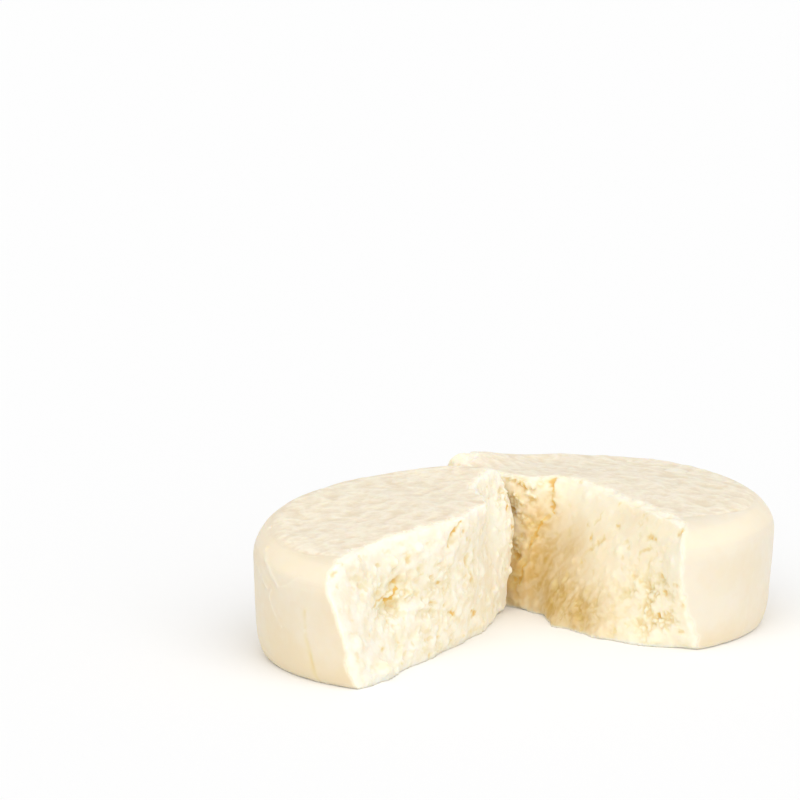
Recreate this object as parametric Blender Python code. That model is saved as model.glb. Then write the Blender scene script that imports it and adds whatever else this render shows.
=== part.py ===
# Cotija cheese: one small aged wheel broken in two, both halves standing in an open V.
# Metres, +Z up. The wheel stands on its flat foot, its origin under the middle of its box.

import math

import bmesh
import bpy
from mathutils import Euler, Vector, noise

# The whole wheel before it was broken
RADIUS = 0.048
HEIGHT = 0.0354
DOME = 0.0005                  # how far the middle of the top stands above its edge
TAPER = 0.0018                 # how much narrower the wall is at its foot
SHOULDER_ACROSS = 0.0094       # the rounded upper edge
SHOULDER_DOWN = 0.0092
FOOT_ACROSS = 0.0026           # the lower edge draws in slowly
FOOT_DOWN = 0.0094
TURN_STEPS = 80

# Hand pressed unevenness of the rind
WAVE_SIZE = 0.019
WAVE_DEPTH = 0.0005
TOP_WAVE_SIZE = 0.026
TOP_WAVE_DEPTH = 0.0009

# The grid that shapes a broken face, and how far it reaches past the wheel
CELL = 0.00175
REACH = 0.055
BELOW = 0.0035
ABOVE = 0.0415
BLOCK_DEPTH = 0.062

# Lumps of curd on a broken face: size across and relief
SLAB_SIZE, SLAB_RELIEF = 0.014, 0.0014
CURD_SIZE, CURD_RELIEF = 0.0062, 0.0022
CURD_MIDDLE = 0.52             # the lumps' mean, so that they leave the face where it is
GRAIN_SIZE, GRAIN_RELIEF = 0.0036, 0.0007

# Each half: where its centre stands, the heading of its break from front to back, how its
# thickness grows along the break and across it, how its far end swells, and the break's plan
# at the foot, at the waist and at the top. A plan point is (distance along the break, distance
# out of the half). A pit is (along, height, radius, depth).
WAIST = 0.4
LEFT = {
    "centre": (0.0, 0.0016),
    "heading": math.radians(67.5),
    "side": 1.0,
    "grows": (0.104, -0.011),
    "swell": (0.026, 0.0011),
    "foot": ((-0.056, -0.0030), (-0.0435, -0.0004), (-0.040, 0.0010), (-0.031, 0.0011),
             (-0.017, 0.0020), (-0.002, 0.0032), (0.013, 0.0034), (0.027, 0.0028),
             (0.037, 0.0012), (0.043, -0.0006), (0.056, -0.0030)),
    "waist": ((-0.056, -0.0054), (-0.0435, -0.0040), (-0.031, -0.0020), (-0.017, 0.0012),
              (-0.002, 0.0045), (0.013, 0.0052), (0.027, 0.0026), (0.037, 0.0029),
              (0.043, 0.0026), (0.056, 0.0010)),
    "top": ((-0.056, -0.0110), (-0.040, -0.0098), (-0.032, -0.0080), (-0.021, -0.0034),
            (-0.0145, 0.0022), (-0.006, 0.0062), (0.006, 0.0074), (0.013, 0.0078),
            (0.019, 0.0048), (0.027, -0.0008), (0.036, -0.0022), (0.044, -0.0020),
            (0.056, -0.0030)),
    "pits": ((-0.0225, 0.0205, 0.0036, 0.0036), (-0.0035, 0.0300, 0.0021, 0.0022),
             (0.0125, 0.0190, 0.0024, 0.0018)),
    "seed": 3.7,
}
RIGHT = {
    "centre": (0.0412, 0.0396),
    "heading": math.radians(134.0),
    "side": -1.0,
    "grows": (0.045, 0.0),
    "swell": (0.030, 0.0020),
    "foot": ((-0.056, 0.0066), (-0.0425, 0.0072), (-0.036, 0.0124), (-0.0295, 0.0160),
             (-0.023, 0.0176), (-0.0175, 0.0183), (-0.012, 0.0173), (-0.002, 0.0169),
             (0.009, 0.0118), (0.016, 0.0104), (0.023, 0.0106), (0.031, 0.0112),
             (0.042, 0.0118), (0.056, 0.0120)),
    "waist": ((-0.056, 0.0150), (-0.047, 0.0150), (-0.038, 0.0136), (-0.0295, 0.0132),
              (-0.0175, 0.0128), (-0.012, 0.0115), (-0.002, 0.0105), (0.009, 0.0075),
              (0.016, 0.0088), (0.023, 0.0107), (0.031, 0.0118), (0.042, 0.0132),
              (0.056, 0.0136)),
    "top": ((-0.056, 0.0150), (-0.0475, 0.0136), (-0.041, 0.0101), (-0.0315, 0.0087), (-0.026, 0.0080),
            (-0.0165, 0.0042), (-0.006, 0.0010), (0.0115, 0.0012), (0.0150, 0.0050),
            (0.0195, 0.0100), (0.027, 0.0118), (0.034, 0.0136), (0.041, 0.0142),
            (0.056, 0.0146)),
    "pits": ((-0.033, 0.0160, 0.0030, 0.0026), (-0.027, 0.0100, 0.0022, 0.0020),
             (-0.0385, 0.0290, 0.0016, 0.0022), (-0.014, 0.0240, 0.0020, 0.0016)),
    "seed": 11.3,
}


def clear_scene():
    for item in list(bpy.data.objects):
        bpy.data.objects.remove(item, do_unlink=True)


def cheese_material(name, colour, roughness):
    material = bpy.data.materials.new(name)
    material.use_nodes = True
    shader = material.node_tree.nodes["Principled BSDF"]
    shader.inputs["Base Color"].default_value = (*colour, 1.0)
    shader.inputs["Roughness"].default_value = roughness
    shader.inputs["Metallic"].default_value = 0.0
    return material


def arc(centre, across, down, start, end, segments):
    # Points on a quarter of an ellipse, from one angle to another
    points = []
    for step in range(segments + 1):
        angle = start + (end - start) * step / segments
        points.append((centre[0] + across * math.cos(angle), centre[1] + down * math.sin(angle)))
    return points


def wheel_profile():
    # Half of the wheel's section as (radius, height), from the middle of the top round to the
    # middle of the foot
    flat = RADIUS - SHOULDER_ACROSS
    points = []
    for share in (0.0, 0.2, 0.4, 0.6, 0.8):
        points.append((flat * share, HEIGHT + DOME * (1.0 - share * share)))
    shoulder = (flat, HEIGHT - SHOULDER_DOWN)
    points += arc(shoulder, SHOULDER_ACROSS, SHOULDER_DOWN, math.pi / 2, 0.0, 6)
    points.append((RADIUS, (HEIGHT - SHOULDER_DOWN + FOOT_DOWN) / 2))
    foot = (RADIUS - FOOT_ACROSS, FOOT_DOWN)
    points += arc(foot, FOOT_ACROSS, FOOT_DOWN, 0.0, -math.pi / 2, 4)
    for share in (0.75, 0.5, 0.25, 0.0):
        points.append(((RADIUS - FOOT_ACROSS) * share, 0.0))
    return points


def smooth(share):
    # An even rise from 0 to 1
    held = min(max(share, 0.0), 1.0)
    return held * held * (3.0 - 2.0 * held)


def uneven(point, half):
    # A wheel pressed by hand: it is thicker towards one end, its wall leans in towards the
    # foot, and its rind is a little wavy
    across = Vector((point.x, point.y, 0.0))
    lift = point.z / HEIGHT
    radius = across.length
    if radius > 0.0:
        out = across / radius
        wave = noise.noise(Vector((point.x, point.y, point.z + half["seed"])) / WAVE_SIZE)
        change = radius / RADIUS * (WAVE_DEPTH * wave - TAPER * (1.0 - lift))
        across += out * change
    grown = half["grows"][0] * across.y + half["grows"][1] * across.x
    grown += half["swell"][1] * smooth((across.y - half["swell"][0]) / (RADIUS - half["swell"][0]))
    wave = noise.noise(Vector((point.x, point.y, half["seed"])) / TOP_WAVE_SIZE)
    rise = lift * (grown + TOP_WAVE_DEPTH * wave)
    return Vector((across.x, across.y, point.z + rise))


def wheel_mesh(name, half):
    # The half's own wheel, its break along local +Y
    mesh = bmesh.new()
    verts = [mesh.verts.new((radius, 0.0, height)) for radius, height in wheel_profile()]
    edges = [mesh.edges.new(pair) for pair in zip(verts, verts[1:])]
    bmesh.ops.spin(mesh, geom=verts + edges, cent=(0, 0, 0), axis=(0, 0, 1),
                   angle=2 * math.pi, steps=TURN_STEPS, use_merge=True)
    bmesh.ops.remove_doubles(mesh, verts=mesh.verts, dist=0.00001)
    for vert in mesh.verts:
        vert.co = uneven(vert.co, half)
    bmesh.ops.recalc_face_normals(mesh, faces=mesh.faces)
    data = bpy.data.meshes.new(name)
    mesh.to_mesh(data)
    mesh.free()
    return data


def plan_offset(points, along):
    # A smooth curve through the plan points, read at one distance along the break
    last = len(points) - 2
    place = 0
    while place < last and points[place + 1][0] < along:
        place += 1
    (x0, y0), (x1, y1) = points[place], points[place + 1]
    before = points[max(place - 1, 0)]
    after = points[min(place + 2, last + 1)]
    slope0 = (y1 - before[1]) / (x1 - before[0])
    slope1 = (after[1] - y0) / (after[0] - x0)
    span = x1 - x0
    t = min(max((along - x0) / span, 0.0), 1.0)
    start = (2 * t ** 3 - 3 * t ** 2 + 1) * y0 + (t ** 3 - 2 * t ** 2 + t) * span * slope0
    end = (3 * t ** 2 - 2 * t ** 3) * y1 + (t ** 3 - t ** 2) * span * slope1
    return start + end


def curd(along, height, half):
    # Relief of the crumbly curd: broad slabs, round lumps with creases between, grains, pits
    spot = Vector((along, height, 0.0))
    shift = Vector((0.0, 0.0, half["seed"]))
    slab = noise.noise(spot / SLAB_SIZE + shift) * SLAB_RELIEF
    lump = (CURD_MIDDLE - noise.voronoi(spot / CURD_SIZE + shift)[0][0]) * CURD_RELIEF
    grain = noise.noise(spot / GRAIN_SIZE + shift * 2.0) * GRAIN_RELIEF
    relief = slab + lump + grain
    for pit_along, pit_height, radius, depth in half["pits"]:
        away = math.hypot(along - pit_along, height - pit_height) / radius
        relief -= depth * math.exp(-away * away)
    return relief


def break_offset(along, height, half):
    # How far the broken face stands out of the half at one place along it and one height
    share = min(max(height / HEIGHT, 0.0), 1.0)
    foot = plan_offset(half["foot"], along) * (share - WAIST) * (share - 1.0) / WAIST
    waist = plan_offset(half["waist"], along) * share * (1.0 - share) / (WAIST * (1.0 - WAIST))
    top = plan_offset(half["top"], along) * share * (share - WAIST) / (1.0 - WAIST)
    return foot + waist + top + curd(along, height, half)


def break_block(name, half):
    # A block on the half's own side of the break, its front face shaped as the broken curd
    columns = round(2 * REACH / CELL)
    rows = round((ABOVE + BELOW) / CELL)
    mesh = bmesh.new()
    bmesh.ops.create_grid(mesh, x_segments=columns, y_segments=rows, size=0.5)
    for vert in mesh.verts:
        along = vert.co.x * 2 * REACH
        height = (vert.co.y + 0.5) * (ABOVE + BELOW) - BELOW
        out = break_offset(along, height, half)
        vert.co = Vector((half["side"] * out, along, height))
    made = bmesh.ops.extrude_face_region(mesh, geom=mesh.faces[:])
    for vert in made["geom"]:
        if isinstance(vert, bmesh.types.BMVert):
            vert.co.x = -half["side"] * BLOCK_DEPTH
    bmesh.ops.recalc_face_normals(mesh, faces=mesh.faces)
    data = bpy.data.meshes.new(name)
    mesh.to_mesh(data)
    mesh.free()
    return data


def cheese_half(name, half, material, stand):
    # One half: its wheel kept only where the block on its side of the break is
    turn = Euler((0.0, 0.0, half["heading"] - math.pi / 2))
    place = Vector((*half["centre"], 0.0))
    piece = bpy.data.objects.new(name, wheel_mesh(name, half))
    block = bpy.data.objects.new(name + "_break", break_block(name + "_break", half))
    for item in (piece, block):
        bpy.context.collection.objects.link(item)
        item.parent = stand
        item.location = place
        item.rotation_euler = turn
    block.hide_render = True
    block.display_type = "WIRE"
    piece.data.materials.append(material)
    piece.data.shade_smooth()
    cut = piece.modifiers.new("broken_face", "BOOLEAN")
    cut.operation = "INTERSECT"
    cut.solver = "EXACT"
    cut.object = block
    return piece


def rest_on_origin(stand, pieces):
    # The middle of the foot of the whole box goes to the origin
    bpy.context.view_layer.update()
    graph = bpy.context.evaluated_depsgraph_get()
    corners = []
    for piece in pieces:
        shown = piece.evaluated_get(graph)
        corners += [shown.matrix_world @ vert.co for vert in shown.data.vertices]
    lowest = [min(corner[axis] for corner in corners) for axis in range(3)]
    highest = [max(corner[axis] for corner in corners) for axis in range(3)]
    middle_x = (lowest[0] + highest[0]) / 2
    middle_y = (lowest[1] + highest[1]) / 2
    stand.location = (-middle_x, -middle_y, -lowest[2])
    bpy.context.view_layer.update()


def main():
    clear_scene()
    cream = cheese_material("cheese", (0.90, 0.82, 0.66), 0.55)
    stand = bpy.data.objects.new("stand", None)
    bpy.context.collection.objects.link(stand)
    left = cheese_half("left_half", LEFT, cream, stand)
    right = cheese_half("right_half", RIGHT, cream.copy(), stand)
    rest_on_origin(stand, (left, right))


main()
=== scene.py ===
# A small aged cotija wheel, broken in two, its halves standing in an open V
import math
import random

import bmesh
import bpy
import numpy as np
from mathutils import Euler, Matrix, Vector, noise
from mathutils.bvhtree import BVHTree


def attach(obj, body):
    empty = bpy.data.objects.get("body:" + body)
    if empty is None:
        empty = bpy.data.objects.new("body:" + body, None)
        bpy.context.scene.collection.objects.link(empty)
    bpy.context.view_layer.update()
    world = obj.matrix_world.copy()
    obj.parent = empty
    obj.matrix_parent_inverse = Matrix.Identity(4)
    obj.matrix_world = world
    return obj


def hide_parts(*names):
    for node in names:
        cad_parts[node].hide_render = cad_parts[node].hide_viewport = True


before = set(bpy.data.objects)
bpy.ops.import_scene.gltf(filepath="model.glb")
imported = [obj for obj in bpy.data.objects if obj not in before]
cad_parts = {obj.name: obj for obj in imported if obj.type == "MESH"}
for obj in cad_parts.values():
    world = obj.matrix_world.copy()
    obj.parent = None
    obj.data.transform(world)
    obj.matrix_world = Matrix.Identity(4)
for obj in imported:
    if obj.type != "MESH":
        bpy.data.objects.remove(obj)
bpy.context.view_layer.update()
print("frame loaded")

mm = 0.001                      # one millimetre, in metres

# The whole wheel as it was pressed
wheel = {
    "radius": 48 * mm,
    "height": 35.4 * mm,
    "dome": 0.5 * mm,
    "taper": 1.8 * mm,
    "shoulder": (9.4 * mm, 9.2 * mm),   # across, down
    "foot": (2.6 * mm, 9.4 * mm),
    "waveSize": 19 * mm,
    "waveDepth": 0.5 * mm,
    "topWaveSize": 26 * mm,
    "topWaveDepth": 0.9 * mm,
    "turnSteps": 320,
    "topSteps": 20,
    "arcSteps": 20,
    "merge": 0.005 * mm,
}

# Tables of places are in mm and degrees: on the broken face (along the break, height), on the top
# (along, out of the break), on the wall (angle, height)
leftHalf = {
    "name": "leftCheeseHalf",
    "node": "left_half",
    "centre": (-20.69 * mm, -21.66 * mm),
    "heading": 67.5,            # of the break
    "side": 1.0,                # 1 where the curd is on its right
    "grows": (0.104, -0.011),   # how fast the wheel thickens along and out
    "swell": (26 * mm, 1.1 * mm),   # start and height of its thick end
    "waveSeed": 3.7,
    "seed": 41,
    # along, out, reach along, reach out, how far the top rises
    "lifts": ((38, -13, 8, 8, 0.55),),
    # along, height, reach along, reach up, how far the face moves out
    "shifts": ((-46, 20, 7, 5, -1.5), (-46, 13, 7, 3, -1), (-44, 7.5, 7, 2.5, 1.3)),
    "voxel": 0.36 * mm,
    "lumps": 1100,
    "crumbs": 2400,
    "footLumps": 80,
    "rough": 0.5,
    # along, height, reach, added roughness
    "roughSpots": (
        (-24, 20, 9, 0.55), (-6, 18, 9, 0.25), (-10, 6, 12, 0.3), (-38, 9, 8, -0.2), (-44, 20, 7, -0.3),
        (-24, 30, 8, -0.25), (30, 22, 13, -0.3), (44, 18, 4.5, 0.9), (43, 33, 5, 0.7),
    ),
    # along, out, height, radius of lumps that stand out
    "knobs": (
        (-15.7, 1.4, 30, 1.7), (-22.7, -1.6, 27.5, 1.5), (-17.9, 0.2, 18.8, 1.3), (-23, -2.6, 19.6, 1),
        (-14.6, 2, 15, 1.1), (-35, 0.6, 3.4, 2), (44, 0, 33, 1.3), (43, 1.5, 25, 1.2),
        (43.5, 1.4, 12, 1.3),
    ),
    # along, height, reach along, reach up, depth, stain
    "pits": (
        (-18.3, 27.4, 0.8, 1.7, 0.7, 0.6), (-27.8, 27.4, 1.2, 0.9, 0.5, 0.6),
        (-29.7, 24.9, 1.5, 0.7, 0.5, 0.3), (-24.1, 30.3, 1.8, 0.7, 0.4, 0.3),
        (-31.3, 29.8, 1.2, 0.8, 0.4, 0.3), (-19.5, 31.2, 1.4, 1, 0.5, 0.3),
        (-24.4, 16.2, 4.4, 1.9, 3.6, 0.62), (-21.9, 21.9, 2.6, 1.2, 2.2, 0.75),
        (-30, 20.4, 2.2, 1.2, 1, 0.5), (-20.9, 16.7, 0.9, 0.8, 0.8, 0.6),
        (-21.7, 13.9, 1.9, 0.8, 0.7, 0.35), (-25, 11.3, 1.2, 0.7, 0.6, 0.3),
        (-17, 9.4, 0.9, 0.5, 0.4, 0.3), (-41.3, 16.1, 0.9, 0.5, 0.5, 0.4),
        (-42.7, 25.1, 0.7, 0.8, 0.4, 0.2), (-42.5, 13.3, 2.4, 0.4, 0.5, 0.25),
        (-25.5, 7.2, 1.4, 0.8, 0.9, 0.6), (-32.3, 7.4, 1.5, 0.9, 0.9, 0.6),
        (-12.5, 5.5, 2.4, 0.6, 0.8, 0.6), (-6.7, 4.8, 1.2, 1.2, 0.9, 0.65),
        (0.1, 1.8, 1.1, 0.7, 0.7, 0.5), (-19.8, 4.2, 1.5, 0.5, 0.6, 0.3), (2.4, 7.3, 0.9, 1, 0.7, 0.4),
        (-1.9, 10.8, 0.9, 0.8, 0.7, 0.6), (-4.3, 12.8, 0.9, 0.6, 0.7, 0.65),
        (-9.3, 14.3, 1.5, 0.7, 0.9, 0.6), (-13.5, 16.3, 1.5, 0.8, 0.8, 0.45),
        (-15.6, 20.9, 1.1, 1.2, 0.7, 0.35), (-16, 18.2, 0.7, 0.8, 0.6, 0.45),
        (-18, 24.1, 1.5, 0.8, 0.7, 0.3), (-15.1, 24.5, 0.9, 0.9, 0.6, 0.4),
        (-7.6, 19.2, 1.8, 0.9, 1.2, 0.7), (-9.3, 24.3, 1.7, 0.7, 0.7, 0.35),
        (13.1, 6.3, 2.2, 0.7, 0.9, 0.8), (-4.1, 6.1, 1.4, 0.5, 0.5, 0.4), (5.9, 2.6, 0.9, 0.5, 0.5, 0.4),
        (-36.5, 4.3, 1.5, 0.7, 0.5, 0.2), (3.6, 29.5, 1.2, 0.6, 0.5, 0.35), (22, 30, 1.4, 1, 0.6, 0.25),
        (20, 17, 1.3, 1.1, 0.7, 0.3), (28, 10, 1.4, 0.9, 0.7, 0.4), (-45, 19.2, 0.8, 0.7, 0.4, 0.2),
        (-4.6, 29.3, 1.6, 1.9, 1, 0.4), (10.4, 20.6, 1.8, 1.8, 0.8, 0.3),
        (-22.6, 25.6, 1.2, 1.6, 0.8, 0.3), (44.6, 36.8, 0.9, 1.4, 0.8, 0.7),
        (45.5, 32.6, 0.8, 0.8, 0.6, 0.6), (43.6, 28.8, 1.2, 1.6, 1, 0.9), (45, 23.6, 0.9, 1.2, 0.8, 0.9),
        (45.2, 18.4, 0.9, 1.6, 0.9, 0.9),
    ),
    "smallPits": 130,
    # line of (along, height), width, depth, stain
    "cracks": (
        (((-21, 22.8), (-23.3, 21), (-24.7, 19.7), (-29, 19), (-32, 17.7)), 0.5, 1.2, 0.9),
        (((-38.3, 26.3), (-35, 25.6), (-33.5, 24.2), (-32, 23.2)), 0.6, 0.6, 0.45),
        (((5, 24.7), (4, 22.1), (6.7, 19.8), (7.9, 17.1), (10.4, 15)), 0.7, 1, 0.75),
        (((-12, 22.1), (-9.9, 21.4)), 0.45, 0.5, 0.5),
        (((-1.6, 33.8), (-3.4, 32.6), (-4.4, 30.8), (-4.8, 28.8)), 0.7, 1.5, 1.2),
        (((8.4, 25), (9, 22.8), (10.6, 20.6)), 0.5, 0.8, 0.6),
        (((11.2, 8), (12.6, 6.9), (14.4, 7.1)), 0.6, 1, 1.2),
        (((-1.4, 10.6), (-0.2, 9.6)), 0.6, 0.8, 1.1),
        (((-22, 28.4), (-22.4, 25.6)), 0.5, 0.8, 0.45),
        (((-24.6, 17.6), (-22.6, 19), (-21.4, 20.8)), 0.6, 1, 1.2),
        (((-36.6, 24.2), (-34.6, 23.9), (-33.6, 22.6)), 0.5, 0.7, 0.6),
    ),
    # along, out, radius along, radius out, depth of rind that is gone
    "peels": (),
    # along, height, reach along, reach up, strength of the painted warm shade, of pale curd with painted
    # light, and of painted shade
    "warmShadeAreas": (),
    # pale curd, and painted light where the face turns away from the light, as at the far end
    "paleAndLitAreas": (
        (35, 36, 8, 6, 0.8), (-43, 27.5, 3.5, 4.5, 0.8), (-28, 31, 8, 2.5, 0.6), (-14, 31, 9, 3.5, 0.7),
        (4, 34, 12, 3, 0.6), (22, 36, 12, 4, 0.7), (22, 25, 10, 10, 0.45), (-18, 12, 14, 5, 0.3),
        (-30, 5, 14, 3, 0.4), (40, 20, 10, 18, 1.5), (42, 34, 7, 8, 1.3), (-46, 14, 3.5, 15, 0.7),
    ),
    # painted shade patches over shallow hollows, as around the pocket
    "shadedPatches": ((-19, 22, 9, 4, 0.6), (-27, 19, 6, 5, 0.6), (-6, 19, 5, 3, 0.4), (-30, 27, 5, 3, 0.3)),
    # how pale this half's wall is painted: painted shade, low because this wall is turned away from the key
    # light
    "paintedWallLight": 0.4,
    "gold": 0,
    "amber": (60, 61),          # along, where the painted warm shade turns from brown to orange
    "flaked": 0.3,              # depth of rind that is gone along the break
    # the pale band along the wall's edge: its width, then (height, strength)
    "edgeWidth": 2.2,
    "edgeBand": ((0, 0.5), (9, 0.5), (18, 0.6), (22, 1), (32, 1), (40, 0.9)),
    # angle, radius where the wrinkled top ends
    "rim": (
        (-185, 37), (-163, 39.7), (-155, 41.4), (-144, 42.9), (-137, 43.6), (-123, 43), (-95, 43.6),
        (-45, 43), (0, 42), (60, 42),
    ),
    "leatherTurn": 32,
    # line of (angle, height), width, depth (minus for a ridge), stain
    "wallMarks": (
        (((-124.5, 26.5), (-126.4, 24.9), (-132.5, 23.9), (-136.5, 22.2), (-139.3, 20.9)), 0.7, -0.3, 0),
        (((-126, 24), (-132, 22.8), (-137, 20.6)), 0.7, 0.18, 0),
        (((-132, 29.5), (-135.2, 27.9), (-140.9, 26.1), (-144.6, 24), (-146.8, 22.9)), 0.7, -0.38, 0),
        (((-134, 27.6), (-139.6, 24.8), (-143.3, 23), (-145, 21.8)), 0.8, 0.26, 0),
        (((-142.4, 20.8), (-140.5, 19), (-141.7, 17.1), (-143.9, 15.1), (-145.4, 13.6), (-147.5, 12.5)),
         0.65, -0.26, 0),
        (((-147.9, 12.2), (-152.3, 10.9), (-155.6, 9.7)), 0.7, 0.06, 0),
        (((-152.1, 22.4), (-152.6, 20.4)), 0.8, -0.05, 0),
        (((-153.9, 19.9), (-156.5, 19.6), (-158.7, 19.2)), 0.55, 0.07, 0),
        (((-135.3, 17.3), (-135.2, 13.9), (-137.7, 9.2), (-138.7, 5.2)), 0.7, -0.05, 0),
        (((-160, 18.2), (-159.6, 15.9), (-160.1, 14.4)), 0.6, 0.1, 0.6),
        (((-160.4, 14.2), (-159.4, 13.2), (-160.4, 12.1)), 0.5, -0.08, 0),
        (((-160.2, 12.1), (-160.4, 10.1), (-161.1, 8.1)), 0.8, 0.1, 0.55),
        (((-161.1, 8.1), (-162, 6.1), (-162.1, 4)), 0.8, 0.14, 0.85),
        (((-162.1, 4), (-162.4, 1.8), (-163.4, 0.4)), 0.7, 0.1, 0.6),
        (((-163.4, 12.6), (-165, 9), (-165.6, 5.2)), 0.8, -0.05, 0),
    ),
    # line of (angle, height), width, depth
    "wallSteps": ((((-146.8, 22.6), (-151.2, 23.8), (-153.6, 25), (-156.1, 26.4)), 2, 0.14),),
    # along, out, radius along, radius out
    "flakes": (),
}

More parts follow.
